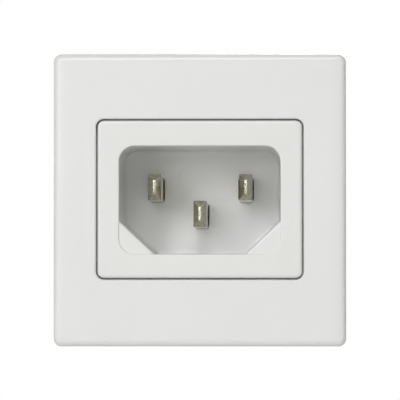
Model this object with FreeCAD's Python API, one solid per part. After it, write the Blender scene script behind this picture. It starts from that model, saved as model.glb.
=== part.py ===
import FreeCAD, Part
import math
import os

# C14 appliance inlet on a square clip-in face plate, in millimetres.
# X runs to the right and Z up, seen from the front. The front face looks along -Y.
# The origin is the centre of the connector mouth, on the front face.

# Face plate
plate_side = 44.6
plate_corner = 1.2
rim_depth = 3.0
web_thick = 2.4
front_edge_radius = 1.0
crown_radius = 14.0
crown_reach = 2.3
opening_edge_break = 0.18

# Skirt behind the face plate, and the panel that it clips into
rim_overhang = 0.9
skirt_corner = 1.6
skirt_wall = 1.5
skirt_end = 11.0
panel_thick = 2.0
latch_play = 0.1
tongue_width = 8.0
tongue_slot = 0.8
tongue_thick = 1.2
tongue_rise = 0.8
tongue_root_land = 1.4
tongue_tip_land = 0.5

# Insert block in the face plate's opening
insert_width = 31.15
insert_height = 24.0
insert_corner = 1.0
insert_edge_radius = 0.45
insert_gap = 0.25
insert_lift = 0.12

# Snap hooks that hold the insert's flange against the web
flange_skirt_gap = 0.3
flange_rise = 1.5
flange_corner = 1.5
flange_thick = 2.0
hook_width = 5.0
hook_pitch = 18.0
hook_thick = 1.1
hook_gap = 0.1
hook_bite = 0.7
hook_land = 0.5
hook_ramp = 1.2

# Connector cavity
cavity_width = 24.6
cavity_height = 16.5
cavity_depth = 17.3
cavity_corner = 2.4
chamfer_across = 5.4
chamfer_up = 5.1
chamfer_round = 0.7
mouth_recess = 0.25
mouth_edge_radius = 0.2
lead_in = 0.4
cavity_floor_radius = 0.6
flare_steps = 3
shroud_wall = 1.4
floor_thick = 3.2

# Blade pins
pin_thick = 2.0
pin_wide = 4.0
pin_edge_radius = 0.25
pin_half_pitch = 7.0
pin_lift = 2.05
earth_drop = 4.1
pin_setback = 2.5
earth_lead = 1.0
pin_bevel_length = 1.0
pin_flat_thick = 0.45
pin_flat_wide = 2.1
pin_flat_round = 0.05
pin_fit = 0.02
pin_relief_gap = 0.22
pin_relief_inset = 0.35
pin_relief_depth = 2.2
tenon_thick = 1.2
tenon_wide = 2.4
stake_spread = 0.25
stake_height = 0.5

# Bent strips that join the pins to the terminals
strip_thick = 1.4
strip_bend_inside = 0.6
strip_width = 4.8
strip_tongue_height = 2.0
strip_tongue_end = 31.1
strip_end_round = 0.8
strip_tab_margin = 1.6
strip_corner = 0.7
bend_relief = 0.5
terminal_pitch = 11.5

# Rising cages and their screws
cage_wall = 0.9
cage_roof = 1.8
cage_base = 1.2
cage_depth = 6.0
cage_window_height = 6.2
cage_corner = 0.6
cage_travel = 3.0
cage_side_gap = 0.2
cage_end_gap = 0.3
cage_roof_gap = 0.1
cage_base_gap = 0.4
screw_diameter = 2.94
screw_bore_gap = 0.03
screw_tip_gap = 0.03
screw_tip_chamfer = 0.35
screw_head_diameter = 5.0
screw_head_height = 2.2
screw_head_lift = 0.3
screw_slot_width = 0.9
screw_slot_depth = 1.2
screw_head_gap = 0.2

# Terminal block
block_side_wall = 0.9
block_base_wall = 1.2
block_roof = 1.4
block_rear_wall = 3.2
block_corner = 1.2
block_backing = 1.6
access_diameter = 4.4
wire_entry_margin = 0.1
wire_funnel = 0.7
wire_funnel_depth = 1.6
strip_pocket_gap = 0.2
barrier_groove_width = 1.8
barrier_groove_depth = 1.6

# Ears and screws that hold the block to the inlet body
ear_radius = 2.4
ear_thick = 3.0
ear_height = 2.0
ear_hole_diameter = 3.1
boss_length = 9.0
boss_rib = 1.4
ear_screw_diameter = 2.5
ear_screw_length = 11.0
ear_screw_fit = 0.02
pilot_spare = 0.6
pan_head_diameter = 4.4
pan_head_height = 1.6
pan_head_gap = 0.25
pan_head_edge = 0.5
ear_screw_point = 1.0
cross_width = 0.8
cross_length = 2.6
cross_depth = 1.0

# Worked out from the sizes above
past = 1.0
half_plate = plate_side / 2
half_skirt = half_plate - rim_overhang
half_skirt_inside = half_skirt - skirt_wall
latch_face = rim_depth + panel_thick + latch_play
opening_width = insert_width + 2 * insert_gap
opening_height = insert_height + 2 * insert_gap
opening_corner = insert_corner + insert_gap
flange_width = 2 * (half_skirt_inside - flange_skirt_gap)
flange_height = opening_height + 2 * flange_rise
flange_back = web_thick + flange_thick
floor_back = cavity_depth + floor_thick

earth_lift = pin_lift - earth_drop
strip_back = floor_back + strip_thick
tongue_top = strip_tongue_height + strip_thick / 2
tongue_bottom = strip_tongue_height - strip_thick / 2

cage_window_width = strip_width + 2 * cage_side_gap
cage_width = cage_window_width + 2 * cage_wall
cage_window_top = tongue_top + cage_roof_gap
cage_window_bottom = cage_window_top - cage_window_height
cage_top = cage_window_top + cage_roof
cage_bottom = cage_window_bottom - cage_base
chamber_back = strip_tongue_end + cage_side_gap
cage_back = chamber_back - cage_end_gap
cage_front = cage_back - cage_depth
screw_depth_y = (cage_front + cage_back) / 2

head_bottom = cage_top + cage_travel + screw_head_lift
head_top = head_bottom + screw_head_height
chamber_width = cage_width + 2 * cage_side_gap
chamber_top = head_bottom - screw_head_lift / 2
chamber_bottom = cage_bottom - cage_base_gap
head_pocket_top = head_top + screw_head_gap
block_top = head_pocket_top + block_roof
block_bottom = chamber_bottom - block_base_wall
block_back = chamber_back + block_rear_wall
half_block = terminal_pitch + chamber_width / 2 + block_side_wall
ear_x = half_block + pan_head_gap + pan_head_diameter / 2
ear_back = floor_back + ear_thick

terminal_xs = {"line": -terminal_pitch, "earth": 0.0, "neutral": terminal_pitch}
pin_places = {
    "line": (-pin_half_pitch, pin_lift),
    "earth": (0.0, earth_lift),
    "neutral": (pin_half_pitch, pin_lift),
}
pin_setbacks = {
    "line": pin_setback,
    "earth": pin_setback - earth_lead,
    "neutral": pin_setback,
}
ear_sides = {"left": -1, "right": 1}


def vec(x, y, z):
    return FreeCAD.Vector(x, y, z)


def box(x0, x1, y0, y1, z0, z1):
    """A box between two limits on each axis."""
    return Part.makeBox(x1 - x0, y1 - y0, z1 - z0, vec(x0, y0, z0))


def rounded_wire(corners, place):
    """A closed wire through (u, v, radius) corners. place turns u, v into a point."""
    edges = []
    joins = []
    count = len(corners)
    for i in range(count):
        u, v, radius = corners[i]
        here = place(u, v)
        before = place(*corners[i - 1][:2])
        after = place(*corners[(i + 1) % count][:2])
        back = (before - here).normalize()
        ahead = (after - here).normalize()
        if radius <= 0:
            joins.append((here, None, here))
            continue
        half_angle = back.getAngle(ahead) / 2
        reach = radius / math.tan(half_angle)
        middle = (back + ahead).normalize()
        centre = here + middle * (radius / math.sin(half_angle))
        joins.append((here + back * reach, centre - middle * radius, here + ahead * reach))
    for i in range(count):
        start, bulge, end = joins[i]
        if bulge is not None:
            edges.append(Part.Arc(start, bulge, end).toShape())
        following = joins[(i + 1) % count][0]
        if end.distanceToPoint(following) > 1e-6:
            edges.append(Part.LineSegment(end, following).toShape())
    return Part.Wire(edges)


def prism_y(corners, y0, y1):
    """A solid with an (x, z, radius) outline between two depths."""
    wire = rounded_wire(corners, lambda x, z: vec(x, y0, z))
    return Part.Face(wire).extrude(vec(0, y1 - y0, 0))


def prism_x(corners, x0, x1):
    """A solid with a (y, z, radius) outline between two places along X."""
    wire = rounded_wire(corners, lambda y, z: vec(x0, y, z))
    return Part.Face(wire).extrude(vec(x1 - x0, 0, 0))


def prism_z(corners, z0, z1):
    """A solid with an (x, y, radius) outline between two heights."""
    wire = rounded_wire(corners, lambda x, y: vec(x, y, z0))
    return Part.Face(wire).extrude(vec(0, 0, z1 - z0))


def rectangle(width, height, radius, x=0.0, z=0.0):
    """Corners of a rounded rectangle about x, z."""
    half_w = width / 2
    half_h = height / 2
    return [
        (x - half_w, z - half_h, radius),
        (x + half_w, z - half_h, radius),
        (x + half_w, z + half_h, radius),
        (x - half_w, z + half_h, radius),
    ]


def flare(outline, radius, start, way=1):
    """A solid whose sides follow a rounded edge, from a start depth.

    The outline takes how far it differs there, and way is 1 backwards or -1 forwards.
    """
    wires = []
    for step in range(flare_steps + 1):
        turn = math.radians(90 * step / flare_steps)
        depth = start + way * radius * (1 - math.cos(turn))
        corners = outline(radius * (1 - math.sin(turn)))
        wires.append(rounded_wire(corners, lambda x, z: vec(x, depth, z)))
    return Part.makeLoft(wires, True, True)


def edges_where(shape, wanted):
    """The edges that a test picks by their middle point and their bounds."""
    chosen = []
    for edge in shape.Edges:
        middle = edge.valueAt((edge.FirstParameter + edge.LastParameter) / 2)
        if wanted(middle, edge.BoundBox):
            chosen.append(edge)
    return chosen


def cylinder_y(radius, y0, y1, x, z):
    return Part.makeCylinder(radius, y1 - y0, vec(x, y0, z), vec(0, 1, 0))


def cylinder_z(radius, z0, z1, x, y):
    return Part.makeCylinder(radius, z1 - z0, vec(x, y, z0), vec(0, 0, 1))


def mirrored(shape):
    """The same shape on the other side of the middle plane."""
    return shape.mirror(vec(0, 0, 0), vec(1, 0, 0))


def crown_body():
    """Everything behind the slightly crowned front surface, which falls away at the left and right."""
    flat_half = half_plate - crown_reach
    outside = half_plate + past
    run = outside - flat_half
    drop = crown_radius - math.sqrt(crown_radius ** 2 - run ** 2)
    half_run = run / 2
    half_drop = crown_radius - math.sqrt(crown_radius ** 2 - half_run ** 2)
    back = rim_depth + past
    z0 = -half_plate - past
    right_arc = Part.Arc(
        vec(flat_half, 0, z0),
        vec(flat_half + half_run, half_drop, z0),
        vec(outside, drop, z0),
    )
    left_arc = Part.Arc(
        vec(-outside, drop, z0),
        vec(-flat_half - half_run, half_drop, z0),
        vec(-flat_half, 0, z0),
    )
    edges = [
        Part.LineSegment(vec(-flat_half, 0, z0), vec(flat_half, 0, z0)).toShape(),
        right_arc.toShape(),
        Part.LineSegment(vec(outside, drop, z0), vec(outside, back, z0)).toShape(),
        Part.LineSegment(vec(outside, back, z0), vec(-outside, back, z0)).toShape(),
        Part.LineSegment(vec(-outside, back, z0), vec(-outside, drop, z0)).toShape(),
        left_arc.toShape(),
    ]
    return Part.Face(Part.Wire(edges)).extrude(vec(0, 0, 2 * (half_plate + past)))


def plate_face():
    """The face plate's rim and web, with its rounded front edge and the insert's opening."""
    blank = prism_y(rectangle(plate_side, plate_side, plate_corner), 0, rim_depth)
    blank = blank.common(crown_body())
    border = half_plate - plate_corner / 2
    front = front_edge_radius

    def on_front_border(middle, bounds):
        return bounds.YMax < front and max(abs(middle.x), abs(middle.z)) > border

    blank = blank.makeFillet(front_edge_radius, edges_where(blank, on_front_border))
    inside = 2 * half_skirt_inside
    inside_corner = skirt_corner
    blank = blank.cut(prism_y(rectangle(inside, inside, inside_corner), web_thick, rim_depth + past))
    outline = rectangle(opening_width, opening_height, opening_corner, 0, insert_lift)
    blank = blank.cut(prism_y(outline, -past, rim_depth + past))

    def on_opening_edge(middle, bounds):
        across = abs(middle.x) < opening_width / 2 + opening_edge_break
        up = abs(middle.z - insert_lift) < opening_height / 2 + opening_edge_break
        return bounds.YMax < opening_edge_break and across and up

    return blank.makeChamfer(opening_edge_break, edges_where(blank, on_opening_edge))


def skirt():
    """The square tube behind the rim, which passes through the panel's cut-out."""
    outer = prism_y(rectangle(2 * half_skirt, 2 * half_skirt, skirt_corner), web_thick, skirt_end)
    inside = 2 * half_skirt_inside
    inner = prism_y(rectangle(inside, inside, skirt_corner), web_thick - past, skirt_end + past)
    return outer.cut(inner)


def tongue_window():
    """The gap round the right-hand latch tongue."""
    half_gap = tongue_width / 2 + tongue_slot
    return box(
        half_skirt_inside - past,
        half_skirt + past,
        latch_face - tongue_slot,
        skirt_end - tongue_root_land,
        -half_gap,
        half_gap,
    )


def latch_tongue():
    """The right-hand latch tongue. Its free end points forward and catches behind the panel."""
    root = skirt_end - tongue_root_land + past / 2
    tip_out = half_skirt + tongue_rise
    corners = [
        (half_skirt - tongue_thick, root, 0),
        (half_skirt, root, 0),
        (tip_out, latch_face + tongue_tip_land, 0.2),
        (tip_out, latch_face, 0),
        (tip_out - tongue_thick - skirt_wall / 4, latch_face, 0),
    ]
    return prism_z(corners, -tongue_width / 2, tongue_width / 2)


def snap_hook(x, side):
    """One hook behind the web, over the insert flange's top edge, or its bottom edge."""
    arm = flange_height / 2 + hook_gap
    centre = insert_lift
    end = flange_back + hook_land + hook_ramp

    def place(y, height):
        return (y, centre + side * height, 0)

    corners = [
        place(web_thick - web_thick / 4, arm),
        place(flange_back, arm),
        place(flange_back, arm - hook_bite),
        place(flange_back + hook_land, arm - hook_bite),
        place(end, arm + hook_thick / 3),
        place(end, arm + hook_thick),
        place(web_thick - web_thick / 4, arm + hook_thick),
    ]
    return prism_x(corners, x - hook_width / 2, x + hook_width / 2)


def front_plate():
    body = plate_face().fuse(skirt())
    window = tongue_window()
    tongue = latch_tongue()
    body = body.cut([window, mirrored(window)])
    added = [tongue, mirrored(tongue)]
    for x in (-hook_pitch / 2, hook_pitch / 2):
        for side in (-1, 1):
            added.append(snap_hook(x, side))
    return body.fuse(added).removeSplitter()


def socket_outline(grow, lead=0.0):
    """The connector outline with its two chamfered lower corners, grown by a wall.

    A lead moves only the two chamfers outwards.
    """
    half_w = cavity_width / 2 + grow
    half_h = cavity_height / 2 + grow
    slope = math.hypot(chamfer_across, chamfer_up)
    across = chamfer_across + grow * (1 + chamfer_across / chamfer_up - slope / chamfer_up)
    up = chamfer_up + grow * (1 + chamfer_up / chamfer_across - slope / chamfer_across)
    across -= lead * slope / chamfer_up
    up -= lead * slope / chamfer_across
    corner = cavity_corner + grow
    junction = chamfer_round + grow
    return [
        (-half_w + across, -half_h, junction),
        (half_w - across, -half_h, junction),
        (half_w, -half_h + up, junction),
        (half_w, half_h, corner),
        (-half_w, half_h, corner),
        (-half_w, -half_h + up, junction),
    ]


def insert_outline(shrink):
    width = insert_width - 2 * shrink
    height = insert_height - 2 * shrink
    return rectangle(width, height, insert_corner - shrink, 0, insert_lift)


def insert_front():
    """The block that stands flush in the face plate's opening, and the flange behind it."""
    front = flare(insert_outline, insert_edge_radius, 0)
    block = prism_y(insert_outline(0), insert_edge_radius, flange_back)
    flange = rectangle(flange_width, flange_height, flange_corner, 0, insert_lift)
    return block.fuse([front, prism_y(flange, web_thick, flange_back)])


def ear_outline(side):
    """An ear's outline: a round end about its screw, run into the block's side."""
    inner = side * (half_block - ear_radius)
    outer = side * (ear_x + ear_radius)
    low = ear_height - ear_radius
    high = ear_height + ear_radius
    tip = ear_radius * 0.98
    return [(inner, low, 0), (outer, low, tip), (outer, high, tip), (inner, high, 0)]


def block_outline():
    middle = (block_top + block_bottom) / 2
    return rectangle(2 * half_block, block_top - block_bottom, block_corner, 0, middle)


def screw_boss(side):
    """The round boss that takes a block screw, with the rib that ties it to the shroud."""
    x = side * ear_x
    start = floor_back - boss_length
    boss = cylinder_y(ear_radius, start, floor_back, x, ear_height)
    rib_inner = side * (cavity_width / 2 + shroud_wall / 2)
    low, high = sorted((rib_inner, x))
    rib = box(low, high, start, floor_back, ear_height - boss_rib / 2, ear_height + boss_rib / 2)
    return boss.fuse(rib)


def pin_outline(gap, x, z):
    """A blade pin's section, or the slot round it."""
    return rectangle(pin_thick + 2 * gap, pin_wide + 2 * gap, pin_edge_radius + gap, x, z)


def mouth_outline(grow):
    return rectangle(cavity_width + 2 * grow, cavity_height + 2 * grow, cavity_corner + grow)


def inlet_body():
    shroud = prism_y(socket_outline(shroud_wall), web_thick, floor_back)
    backing_start = floor_back - block_backing
    body = insert_front().fuse([shroud, prism_y(block_outline(), backing_start, floor_back)])
    for side in ear_sides.values():
        ear = prism_y(ear_outline(side), backing_start, floor_back)
        body = body.fuse([ear, screw_boss(side)])
    cuts = [
        prism_y(socket_outline(0), -past, cavity_depth - cavity_floor_radius),
        flare(lambda grow: socket_outline(-grow), cavity_floor_radius, cavity_depth, -1),
        flare(lambda grow: socket_outline(0, grow), lead_in, mouth_recess),
        prism_y(mouth_outline(0), -past, mouth_recess),
        flare(mouth_outline, mouth_edge_radius, 0),
    ]
    body = body.cut(cuts).removeSplitter()
    cuts = []
    for x, z in pin_places.values():
        cuts.append(prism_y(pin_outline(pin_fit, x, z), cavity_depth - past, floor_back + past))
        relief_wide = pin_wide - 2 * pin_relief_inset
        relief = rectangle(pin_thick + 2 * pin_relief_gap, relief_wide, pin_relief_gap, x, z)
        cuts.append(prism_y(relief, cavity_depth - past, cavity_depth + pin_relief_depth))
    for side in ear_sides.values():
        depth = ear_screw_length - ear_thick + pilot_spare
        radius = ear_screw_diameter / 2 + ear_screw_fit
        cuts.append(cylinder_y(radius, floor_back - depth, floor_back + past, side * ear_x, ear_height))
    return body.cut(cuts)


def blade_pin(x, z, setback):
    """A blade with a bevelled tip, and a tenon that is staked over the strip."""
    bevel_end = setback + pin_bevel_length
    section = pin_outline(0, x, z)
    tip = rectangle(pin_flat_thick, pin_flat_wide, pin_flat_round, x, z)
    bevel = Part.makeLoft(
        [
            rounded_wire(tip, lambda u, v: vec(u, setback, v)),
            rounded_wire(section, lambda u, v: vec(u, bevel_end, v)),
        ],
        True,
        True,
    )
    blade = prism_y(section, bevel_end, floor_back)
    tenon = prism_y(rectangle(tenon_thick, tenon_wide, 0, x, z), floor_back - past, strip_back)
    spread_thick = tenon_thick + 2 * stake_spread
    spread_wide = tenon_wide + 2 * stake_spread
    stake_end = strip_back + stake_height
    stake = prism_y(rectangle(spread_thick, spread_wide, 0, x, z), strip_back, stake_end)
    return bevel.fuse([blade, tenon, stake]).removeSplitter()


def strip(name):
    """A bent strip: an upright tab on the pin's tenon, and a tongue that runs back into the cage."""
    pin_x, pin_z = pin_places[name]
    terminal_x = terminal_xs[name]
    low = pin_z - tenon_wide / 2 - strip_tab_margin
    outside = strip_thick + strip_bend_inside
    bend = [
        (floor_back, low, 0),
        (strip_back, low, 0),
        (strip_back, tongue_bottom, strip_bend_inside),
        (strip_tongue_end, tongue_bottom, 0),
        (strip_tongue_end, tongue_top, strip_end_round),
        (floor_back, tongue_top, outside),
    ]
    half = strip_width / 2
    shape = prism_x(bend, terminal_x - half, terminal_x + half)
    if abs(pin_x - terminal_x) > tenon_thick:
        side = 1 if pin_x > terminal_x else -1
        near = terminal_x + side * (half + bend_relief)
        far = pin_x + side * (tenon_thick / 2 + strip_tab_margin)
        high = pin_z + tenon_wide / 2 + strip_tab_margin
        tab = prism_y(
            [
                (near, low, 0),
                (far, low, strip_corner),
                (far, high, strip_corner),
                (near, high, strip_corner),
            ],
            floor_back,
            strip_back,
        )
        neck_top = tongue_bottom - strip_bend_inside
        neck_x = sorted((terminal_x, near))
        neck = box(neck_x[0], neck_x[1], floor_back, strip_back, low, neck_top)
        shape = shape.fuse([tab, neck])
    hole = rectangle(tenon_thick, tenon_wide, 0, pin_x, pin_z)
    return shape.cut(prism_y(hole, floor_back - past, strip_back + past)).removeSplitter()


def cage(x):
    """A rising cage: a square ring with a clearance bore for its screw in the roof."""
    middle = (cage_top + cage_bottom) / 2
    outline = rectangle(cage_width, cage_top - cage_bottom, cage_corner, x, middle)
    window_middle = (cage_window_top + cage_window_bottom) / 2
    window = rectangle(cage_window_width, cage_window_height, 0, x, window_middle)
    body = prism_y(outline, cage_front, cage_back)
    body = body.cut(prism_y(window, cage_front - past, cage_back + past))
    radius = screw_diameter / 2 + screw_bore_gap
    return body.cut(cylinder_z(radius, cage_window_top - past, cage_top + past, x, screw_depth_y))


def turned(profile, base, along):
    """A solid turned about the line through base from (radius, distance along it) points."""
    points = [base + vec(radius, 0, 0) + along * distance for radius, distance in profile]
    wire = Part.makePolygon(points + points[:1])
    return Part.Face(wire).revolve(base, along, 360)


def terminal_screw(x):
    """A slotted screw. Its tip bears on the strip's tongue and its shank passes the cage's roof."""
    tip = tongue_top + screw_tip_gap
    radius = screw_diameter / 2
    head = screw_head_diameter / 2
    profile = [
        (0, tip),
        (radius - screw_tip_chamfer, tip),
        (radius, tip + screw_tip_chamfer),
        (radius, head_bottom),
        (head, head_bottom),
        (head, head_top),
        (0, head_top),
    ]
    half = screw_slot_width / 2
    slot = box(
        x - half,
        x + half,
        screw_depth_y - head - past,
        screw_depth_y + head + past,
        head_top - screw_slot_depth,
        head_top + past,
    )
    return turned(profile, vec(x, screw_depth_y, 0), vec(0, 0, 1)).cut(slot)


def head_pocket(x):
    """The space for a screw head, open to the front so that the screw goes in with its cage."""
    half = screw_head_diameter / 2 + screw_head_gap
    corners = [
        (x - half, floor_back - past, 0),
        (x + half, floor_back - past, 0),
        (x + half, screw_depth_y + half, half * 0.98),
        (x - half, screw_depth_y + half, half * 0.98),
    ]
    return prism_z(corners, chamber_top - past, head_pocket_top)


def wire_entry(x):
    """The rectangular wire hole in the rear wall, with its funnel."""
    width = cage_window_width - 2 * wire_entry_margin
    low = cage_window_bottom + wire_entry_margin
    high = tongue_bottom - wire_entry_margin
    middle = (low + high) / 2
    height = high - low
    hole = prism_y(rectangle(width, height, 0, x, middle), chamber_back - past, block_back + past)
    small = rectangle(width, height, 0, x, middle)
    large = rectangle(width + 2 * wire_funnel, height + 2 * wire_funnel, 0, x, middle)
    funnel = Part.makeLoft(
        [
            rounded_wire(small, lambda u, v: vec(u, block_back - wire_funnel_depth, v)),
            rounded_wire(large, lambda u, v: vec(u, block_back, v)),
        ],
        True,
        True,
    )
    return hole.fuse(funnel)


def strip_pocket(name):
    """The shallow space in the block's front for a strip's tab and the pin's staked end."""
    pin_x, pin_z = pin_places[name]
    terminal_x = terminal_xs[name]
    depth = strip_thick + stake_height + strip_pocket_gap
    reach = tenon_thick / 2 + strip_tab_margin + strip_pocket_gap
    low = pin_z - tenon_wide / 2 - strip_tab_margin - strip_pocket_gap
    high = pin_z + tenon_wide / 2 + strip_tab_margin + strip_pocket_gap
    left = min(pin_x - reach, terminal_x)
    right = max(pin_x + reach, terminal_x)
    return box(left, right, floor_back - past, floor_back + depth, low, high)


def terminal_block():
    body = prism_y(block_outline(), floor_back, block_back)
    for side in ear_sides.values():
        body = body.fuse(prism_y(ear_outline(side), floor_back, ear_back))
    cuts = []
    for name, x in terminal_xs.items():
        left = x - chamber_width / 2
        right = x + chamber_width / 2
        cuts.append(box(left, right, floor_back - past, chamber_back, chamber_bottom, chamber_top))
        cuts.append(head_pocket(x))
        cuts.append(cylinder_z(access_diameter / 2, chamber_top, block_top + past, x, screw_depth_y))
        cuts.append(wire_entry(x))
        cuts.append(strip_pocket(name))
    for x in (-terminal_pitch / 2, terminal_pitch / 2):
        half = barrier_groove_width / 2
        base = block_top - barrier_groove_depth
        cuts.append(box(x - half, x + half, floor_back - past, block_back + past, base, block_top + past))
    for side in ear_sides.values():
        radius = ear_hole_diameter / 2
        cuts.append(cylinder_y(radius, floor_back - past, ear_back + past, side * ear_x, ear_height))
    return body.cut(cuts).removeSplitter()


def block_screw(side):
    """A cross-recessed pan head screw that goes through an ear into its boss."""
    x = side * ear_x
    end = ear_back - ear_screw_length
    head_back = ear_back + pan_head_height
    shank = ear_screw_diameter / 2
    head = pan_head_diameter / 2
    profile = [
        (0, end),
        (shank / 2, end),
        (shank, end + ear_screw_point),
        (shank, ear_back),
        (head, ear_back),
        (head, head_back - pan_head_edge),
        (head - pan_head_edge, head_back),
        (0, head_back),
    ]
    body = turned(profile, vec(x, 0, ear_height), vec(0, 1, 0))
    long = cross_length / 2
    narrow = cross_width / 2
    front = head_back - cross_depth
    across = box(x - long, x + long, front, head_back + past, ear_height - narrow, ear_height + narrow)
    upright = box(x - narrow, x + narrow, front, head_back + past, ear_height - long, ear_height + long)
    return body.cut([across, upright])


def all_parts():
    parts = {
        "front_plate": front_plate(),
        "inlet_body": inlet_body(),
        "terminal_block": terminal_block(),
    }
    for name, (x, z) in pin_places.items():
        parts[name + "_pin"] = blade_pin(x, z, pin_setbacks[name])
    for name, x in terminal_xs.items():
        parts[name + "_strip"] = strip(name)
        parts[name + "_cage"] = cage(x)
        parts[name + "_screw"] = terminal_screw(x)
    for name, side in ear_sides.items():
        parts["block_screw_" + name] = block_screw(side)
    return parts


os.makedirs("parts", exist_ok=True)
for node, shape in all_parts().items():
    solids = shape.Solids
    assert len(solids) == 1 and shape.isValid(), node
    solids[0].exportStep("parts/" + node + ".step")
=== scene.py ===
import math

import bpy
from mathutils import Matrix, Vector


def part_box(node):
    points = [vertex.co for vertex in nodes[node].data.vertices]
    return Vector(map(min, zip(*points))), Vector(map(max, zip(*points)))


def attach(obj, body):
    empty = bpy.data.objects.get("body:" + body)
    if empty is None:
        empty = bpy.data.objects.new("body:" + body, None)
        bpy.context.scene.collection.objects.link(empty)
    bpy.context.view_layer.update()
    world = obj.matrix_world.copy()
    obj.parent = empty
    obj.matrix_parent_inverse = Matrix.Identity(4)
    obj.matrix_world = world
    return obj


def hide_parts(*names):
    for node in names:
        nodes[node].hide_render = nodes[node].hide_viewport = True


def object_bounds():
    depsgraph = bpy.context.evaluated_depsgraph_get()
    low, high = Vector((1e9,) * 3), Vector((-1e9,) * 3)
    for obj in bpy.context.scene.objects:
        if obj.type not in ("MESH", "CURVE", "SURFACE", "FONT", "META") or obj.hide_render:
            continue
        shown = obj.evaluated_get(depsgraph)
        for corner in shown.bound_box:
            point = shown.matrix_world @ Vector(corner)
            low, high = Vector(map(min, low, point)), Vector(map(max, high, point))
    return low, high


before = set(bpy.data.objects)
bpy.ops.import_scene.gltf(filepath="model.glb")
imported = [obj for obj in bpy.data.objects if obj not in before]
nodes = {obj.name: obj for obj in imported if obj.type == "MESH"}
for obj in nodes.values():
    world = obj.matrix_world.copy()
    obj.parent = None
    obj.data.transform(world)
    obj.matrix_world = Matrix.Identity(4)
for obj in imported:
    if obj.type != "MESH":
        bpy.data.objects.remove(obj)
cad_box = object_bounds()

scene = bpy.context.scene

MM = 0.001

plate_low, plate_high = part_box("front_plate")
plate_width = plate_high.x - plate_low.x
plate_middle = Vector(((plate_low.x + plate_high.x) / 2, plate_low.y, (plate_low.z + plate_high.z) / 2))

# The camera sees the plate almost square on, from a little to the right and below
camera_distance = 500 * MM
camera_right = 9 * MM
camera_below = 13 * MM
picture_px = 400
plate_px = 293.0
plate_centre_px = (199.7, 199.95)
sensor_width = 36.0
clip_near = 1 * MM
clip_far = 20

# Floor below the object, out of the photograph's frame
floor_below = 60 * MM
floor_radius = 0.6
floor_sides = 96
floor_colour = (0.86, 0.86, 0.86, 1)
floor_roughness = 0.9
floor_paleness = 0.5

# Even light from all round, slightly warm, and the white that is seen in its place
ambient = (0.10, 0.102, 0.064, 1)
plain_white = (1, 1, 1, 1)

# Softboxes before the plate: degrees off its own direction, turn about it from the right, watts
softbox_distance = 0.9
softbox_side = 0.25
softboxes = {
    "key": (25, 148, 1.20),
    "key_high": (25, 110, 0.84),
    "side": (25, 178, 0.52),
    "high": (37, 90, 1.54),
    "corner": (37, 130, 0.53),
    "left": (50, 180, 0.15),
    "right": (50, 0, 0.12),
    "front": (0, 0, 0.18),
}

# Wide softboxes above and behind, which also say their distance and side in metres
wide_softboxes = {
    "above": (105, 90, 0.8, 1.1, 0.6),
    "behind": (155, 60, 4.0, 0.9, 0.4),
}

# Noise in the materials, by its scale in a metre, and how it is spread over tone and roughness
cloud_scale = 90
cloud_detail = 3.0
cloud_shade = 0.985
grain_scale = 4200
grain_detail = 4.0
marks_scale = 5200
marks_detail = 3.0
marks_stretch = 0.06
fine_noise_roughness = 0.6
ramp_start = 0.3
ramp_end = 0.7
plastic_spread = 0.04
metal_smoother = 0.06
metal_rougher = 0.08
plastic_ior = 1.46
edge_samples = 6

# Blade pins, from the tip backwards
bevel_length = 1.0 * MM
flat_thick = 0.40 * MM
flat_wide = 2.1 * MM
flat_corner = 0.05 * MM
blade_corner = 0.25 * MM
tip_corner = 0.12 * MM
blade_end = 20.5 * MM
tenon_thick = 1.2 * MM
tenon_wide = 2.4 * MM
stake_spread = 0.25 * MM
stake_height = 0.5 * MM
sheared_depth = 0.02 * MM
edge_share = 0.03
edge_steps = 3
corner_steps = 5
sharp_angle = math.radians(40)


def node_tree(holder):
    """The emptied node tree of a material or a world."""
    holder.use_nodes = True
    tree = holder.node_tree
    tree.nodes.clear()
    return tree


def new_shader(name):
    """A material with a Principled shader wired to its output."""
    material = bpy.data.materials.new(name)
    tree = node_tree(material)
    output = tree.nodes.new("ShaderNodeOutputMaterial")
    shader = tree.nodes.new("ShaderNodeBsdfPrincipled")
    tree.links.new(shader.outputs["BSDF"], output.inputs["Surface"])
    return material, tree, shader


def toned(tone, factor=1):
    """A tone made lighter or darker, as a full colour."""
    return tuple(min(c * factor, 1) for c in tone) + (1,)


def noise(tree, scale, detail, roughness=0.5, stretch=(1, 1, 1)):
    """Noise in the object's own metres, stretched along the axes."""
    coordinates = tree.nodes.new("ShaderNodeTexCoord")
    mapping = tree.nodes.new("ShaderNodeMapping")
    mapping.inputs["Scale"].default_value = stretch
    texture = tree.nodes.new("ShaderNodeTexNoise")
    texture.inputs["Scale"].default_value = scale
    texture.inputs["Detail"].default_value = detail
    texture.inputs["Roughness"].default_value = roughness
    tree.links.new(coordinates.outputs["Object"], mapping.inputs["Vector"])
    tree.links.new(mapping.outputs["Vector"], texture.inputs["Vector"])
    return texture.outputs["Fac"]


def colour_range(tree, source, low, high):
    """Turns a 0 to 1 value into a colour between two."""
    ramp = tree.nodes.new("ShaderNodeValToRGB")
    ramp.color_ramp.elements[0].position = ramp_start
    ramp.color_ramp.elements[1].position = ramp_end
    ramp.color_ramp.elements[0].color = low
    ramp.color_ramp.elements[1].color = high
    tree.links.new(source, ramp.inputs["Fac"])
    return ramp.outputs["Color"]


def value_range(tree, source, low, high):
    """Turns a 0 to 1 value into a number between two."""
    mapping = tree.nodes.new("ShaderNodeMapRange")
    mapping.inputs["To Min"].default_value = low
    mapping.inputs["To Max"].default_value = high
    tree.links.new(source, mapping.inputs["Value"])
    return mapping.outputs["Result"]


def larger(tree, first, second):
    """The larger of two values."""
    maths = tree.nodes.new("ShaderNodeMath")
    maths.operation = "MAXIMUM"
    tree.links.new(first, maths.inputs[0])
    tree.links.new(second, maths.inputs[1])
    return maths.outputs["Value"]


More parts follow.
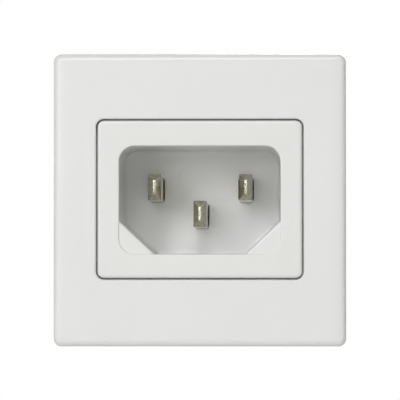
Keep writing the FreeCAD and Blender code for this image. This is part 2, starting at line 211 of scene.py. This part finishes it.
def seen_or_mirrored(tree):
    """One for what the camera, metal and glass see, and nothing for the light itself."""
    path = tree.nodes.new("ShaderNodeLightPath")
    mirrored = larger(tree, path.outputs["Is Glossy Ray"], path.outputs["Is Transmission Ray"])
    return larger(tree, path.outputs["Is Camera Ray"], mirrored)


def add_bump(tree, shader, height, distance, edge_round=0.0):
    """A fine relief, over edges that catch the light as if slightly rounded."""
    bump = tree.nodes.new("ShaderNodeBump")
    bump.inputs["Strength"].default_value = 1.0
    bump.inputs["Distance"].default_value = distance
    tree.links.new(height, bump.inputs["Height"])
    if edge_round > 0:
        edge = tree.nodes.new("ShaderNodeBevel")
        edge.samples = edge_samples
        edge.inputs["Radius"].default_value = edge_round
        tree.links.new(edge.outputs["Normal"], bump.inputs["Normal"])
    tree.links.new(bump.outputs["Normal"], shader.inputs["Normal"])


def moulded_plastic(name, tone, roughness, grain_depth, edge_round):
    """White moulded plastic: faint cloudy tone, satin skin and a very fine moulded grain."""
    material, tree, shader = new_shader(name)
    cloud = noise(tree, cloud_scale, cloud_detail)
    grain = noise(tree, grain_scale, grain_detail, fine_noise_roughness)
    colour = colour_range(tree, cloud, toned(tone, cloud_shade), toned(tone))
    uneven = value_range(tree, grain, roughness - plastic_spread, roughness + plastic_spread)
    tree.links.new(colour, shader.inputs["Base Color"])
    tree.links.new(uneven, shader.inputs["Roughness"])
    add_bump(tree, shader, grain, grain_depth, edge_round)
    shader.inputs["IOR"].default_value = plastic_ior
    return material


def plated_metal(name, tone, roughness, marks_along, mottle=0.12, marks_depth=0.004 * MM, spots=900):
    """Plated metal: mottled tone, with fine marks along one axis."""
    material, tree, shader = new_shader(name)
    stretch = tuple(marks_stretch if axis == marks_along else 1.0 for axis in "xyz")
    marks = noise(tree, marks_scale, marks_detail, fine_noise_roughness, stretch)
    cloud = noise(tree, spots, cloud_detail)
    colour = colour_range(tree, cloud, toned(tone, 1 - mottle), toned(tone, 1 + mottle))
    uneven = value_range(tree, marks, roughness - metal_smoother, roughness + metal_rougher)
    tree.links.new(colour, shader.inputs["Base Color"])
    tree.links.new(uneven, shader.inputs["Roughness"])
    add_bump(tree, shader, marks, marks_depth)
    shader.inputs["Metallic"].default_value = 1.0
    return material


def give(material, *names):
    """Every surface of these CAD nodes takes the material."""
    for name in names:
        slots = nodes[name].data.materials
        slots.clear()
        slots.append(material)

def rounded_ring(x, y, z, thick, wide, corner):
    """Points round a rounded rectangle that looks along Y."""
    points = []
    centres = ((1, 1, 0), (-1, 1, 90), (-1, -1, 180), (1, -1, 270))
    for right, up, start in centres:
        centre_x = x + right * (thick / 2 - corner)
        centre_z = z + up * (wide / 2 - corner)
        for step in range(corner_steps + 1):
            turn = math.radians(start + 90 * step / corner_steps)
            points.append((centre_x + corner * math.cos(turn), y, centre_z + corner * math.sin(turn)))
    return points


def eased(before, corner, after, share_before, share_after):
    """Sections along a small curve that replaces a sharp corner of the blade's profile."""
    start = [c + (b - c) * share_before for b, c in zip(before, corner)]
    end = [c + (a - c) * share_after for a, c in zip(after, corner)]
    sections = []
    for step in range(edge_steps + 1):
        t = step / edge_steps
        sections.append([
            s * (1 - t) ** 2 + 2 * c * t * (1 - t) + e * t ** 2 for s, c, e in zip(start, corner, end)
        ])
    return sections


def blade_sections(tip, back, thick, wide):
    """A blade's sections from its tip to its staked end: place along it, thickness, width, corner."""
    stake_start = back - stake_height
    stake_thick = tenon_thick + 2 * stake_spread
    stake_wide = tenon_wide + 2 * stake_spread
    middle = [tip, 0, flat_wide - flat_thick, 0]
    flat = [tip, flat_thick, flat_wide, flat_corner]
    shoulder = [tip + bevel_length, thick, wide, tip_corner]
    root = [blade_end, thick, wide, blade_corner]
    root_share = edge_share * bevel_length / (blade_end - tip)
    return [
        *eased(middle, flat, shoulder, 2 * edge_share, edge_share),
        *eased(flat, shoulder, root, edge_share, root_share),
        root,
        [blade_end, tenon_thick, tenon_wide, flat_corner],
        [stake_start, tenon_thick, tenon_wide, flat_corner],
        [stake_start, stake_thick, stake_wide, flat_corner],
        [back, stake_thick, stake_wide, flat_corner],
    ]


def skin(name, sections, x, z):
    """A closed mesh over the sections, round an axis along Y."""
    points = []
    faces = []
    count = 4 * (corner_steps + 1)
    for y, thick, wide, corner in sections:
        points += rounded_ring(x, y, z, thick, wide, corner)
    for level in range(len(sections) - 1):
        base = level * count
        for i in range(count):
            following = (i + 1) % count
            faces.append((base + i, base + count + i, base + count + following, base + following))
    last = (len(sections) - 1) * count
    faces.append(tuple(range(count)))
    faces.append(tuple(last + i for i in reversed(range(count))))
    mesh = bpy.data.meshes.new(name)
    mesh.from_pydata(points, [], faces)
    return mesh


def blade(pole):
    """A blade pin with finely rounded bevels, its tenon and its staked end."""
    low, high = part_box(pole + "_pin")
    sections = blade_sections(low.y, high.y, high.x - low.x, high.z - low.z)
    mesh = skin(pole + "_blade", sections, (low.x + high.x) / 2, (low.z + high.z) / 2)
    mesh.shade_smooth()
    mesh.set_sharp_from_angle(angle=sharp_angle)
    for metal in (nickel, bevelled_nickel, sheared_nickel):
        mesh.materials.append(metal)
    for face in mesh.polygons:
        behind_tip = face.center.y - low.y
        face.material_index = int(behind_tip < bevel_length) + int(behind_tip < sheared_depth)
    piece = bpy.data.objects.new(pole + "_blade", mesh)
    scene.collection.objects.link(piece)
    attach(piece, "socket")
    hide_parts(pole + "_pin")


def add_floor():
    """A pale floor, made paler where it is seen or mirrored, so that it keeps a soft shadow."""
    low = cad_box[0][2] - floor_below
    turns = [2 * math.pi * i / floor_sides for i in range(floor_sides)]
    points = [(floor_radius * math.cos(turn), floor_radius * math.sin(turn), low) for turn in turns]
    mesh = bpy.data.meshes.new("floor")
    mesh.from_pydata(points, [], [tuple(range(floor_sides))])
    floor = bpy.data.objects.new("floor", mesh)
    scene.collection.objects.link(floor)
    material, tree, shader = new_shader("floor_white")
    shader.inputs["Base Color"].default_value = floor_colour
    shader.inputs["Roughness"].default_value = floor_roughness
    output = next(node for node in tree.nodes if node.type == "OUTPUT_MATERIAL")
    glow = tree.nodes.new("ShaderNodeEmission")
    share = value_range(tree, seen_or_mirrored(tree), 0, floor_paleness)
    blend = tree.nodes.new("ShaderNodeMixShader")
    tree.links.new(share, blend.inputs["Fac"])
    tree.links.new(shader.outputs["BSDF"], blend.inputs[1])
    tree.links.new(glow.outputs["Emission"], blend.inputs[2])
    tree.links.new(blend.outputs["Shader"], output.inputs["Surface"])
    mesh.materials.append(material)


def add_world():
    """Even light all round. The camera, metal and glass see plain white."""
    world = bpy.data.worlds.new("studio")
    scene.world = world
    tree = node_tree(world)
    level = tree.nodes.new("ShaderNodeMix")
    level.data_type = "RGBA"
    level.inputs["A"].default_value = ambient
    level.inputs["B"].default_value = plain_white
    background = tree.nodes.new("ShaderNodeBackground")
    output = tree.nodes.new("ShaderNodeOutputWorld")
    tree.links.new(seen_or_mirrored(tree), level.inputs["Factor"])
    tree.links.new(level.outputs["Result"], background.inputs["Color"])
    tree.links.new(background.outputs["Background"], output.inputs["Surface"])


def add_softbox(name, polar, turn, power, distance=softbox_distance, size=softbox_side):
    """A square soft lamp aimed at the plate, off its own direction by polar, turned from the right."""
    off = math.radians(polar)
    about = math.radians(turn)
    right = math.sin(off) * math.cos(about)
    up = math.sin(off) * math.sin(about)
    direction = Vector((right, -math.cos(off), up))
    lamp = bpy.data.lights.new(name, "AREA")
    lamp.size = size
    lamp.energy = power
    softbox = bpy.data.objects.new(name, lamp)
    softbox.location = plate_middle + direction * distance
    softbox.rotation_euler = (-direction).to_track_quat("-Z", "Y").to_euler()
    softbox.visible_camera = False
    scene.collection.objects.link(softbox)


def add_camera():
    """The photograph's camera: the plate's width and centre fall on the given pixels."""
    data = bpy.data.cameras.new("camera")
    camera = bpy.data.objects.new("camera", data)
    scene.collection.objects.link(camera)
    scene.camera = camera
    camera.location = plate_middle + Vector((camera_right, -camera_distance, -camera_below))
    aim = plate_middle - camera.location
    camera.rotation_euler = aim.to_track_quat("-Z", "Y").to_euler()
    data.sensor_fit = "HORIZONTAL"
    data.sensor_width = sensor_width
    data.lens = plate_px / picture_px * sensor_width * aim.length / plate_width
    data.shift_x = (picture_px / 2 - plate_centre_px[0]) / picture_px
    data.shift_y = (plate_centre_px[1] - picture_px / 2) / picture_px
    data.clip_start = clip_near
    data.clip_end = clip_far


white = moulded_plastic(
    "face_white", (0.90, 0.90, 0.926), roughness=0.24, grain_depth=0.0015 * MM, edge_round=0.1 * MM
)
insert_white = moulded_plastic(
    "insert_white", (0.892, 0.894, 0.902), roughness=0.34, grain_depth=0.0015 * MM, edge_round=0.1 * MM
)
block_white = moulded_plastic(
    "block_white", (0.74, 0.74, 0.725), roughness=0.48, grain_depth=0.004 * MM, edge_round=0.12 * MM
)

# The blades' sides are smooth, their bevels are ground and their tips sheared
nickel = plated_metal("nickel", (0.54, 0.52, 0.43), 0.2, "y", mottle=0.05, marks_depth=0.001 * MM)
bevelled_nickel = plated_metal(
    "bevelled_nickel", (0.555, 0.535, 0.435), 0.22, "z", mottle=0.2, marks_depth=0.002 * MM, spots=2400
)
sheared_nickel = plated_metal(
    "sheared_nickel", (0.37, 0.36, 0.31), 0.32, "x", mottle=0.9, marks_depth=0.012 * MM, spots=4200
)
brass = plated_metal("brass", (0.72, 0.56, 0.28), 0.32, "x")
zinc = plated_metal("zinc", (0.62, 0.62, 0.62), 0.30, "z")

give(white, "front_plate")
give(insert_white, "inlet_body")
give(block_white, "terminal_block")
poles = ("line", "neutral", "earth")
for pole in poles:
    give(brass, pole + "_strip")
    give(zinc, pole + "_cage", pole + "_screw")
for side in ("left", "right"):
    give(zinc, "block_screw_" + side)

for pole in poles:
    blade(pole)

add_floor()
add_world()
for name, values in (softboxes | wide_softboxes).items():
    add_softbox(name, *values)
add_camera()

scene.view_settings.view_transform = "Standard"
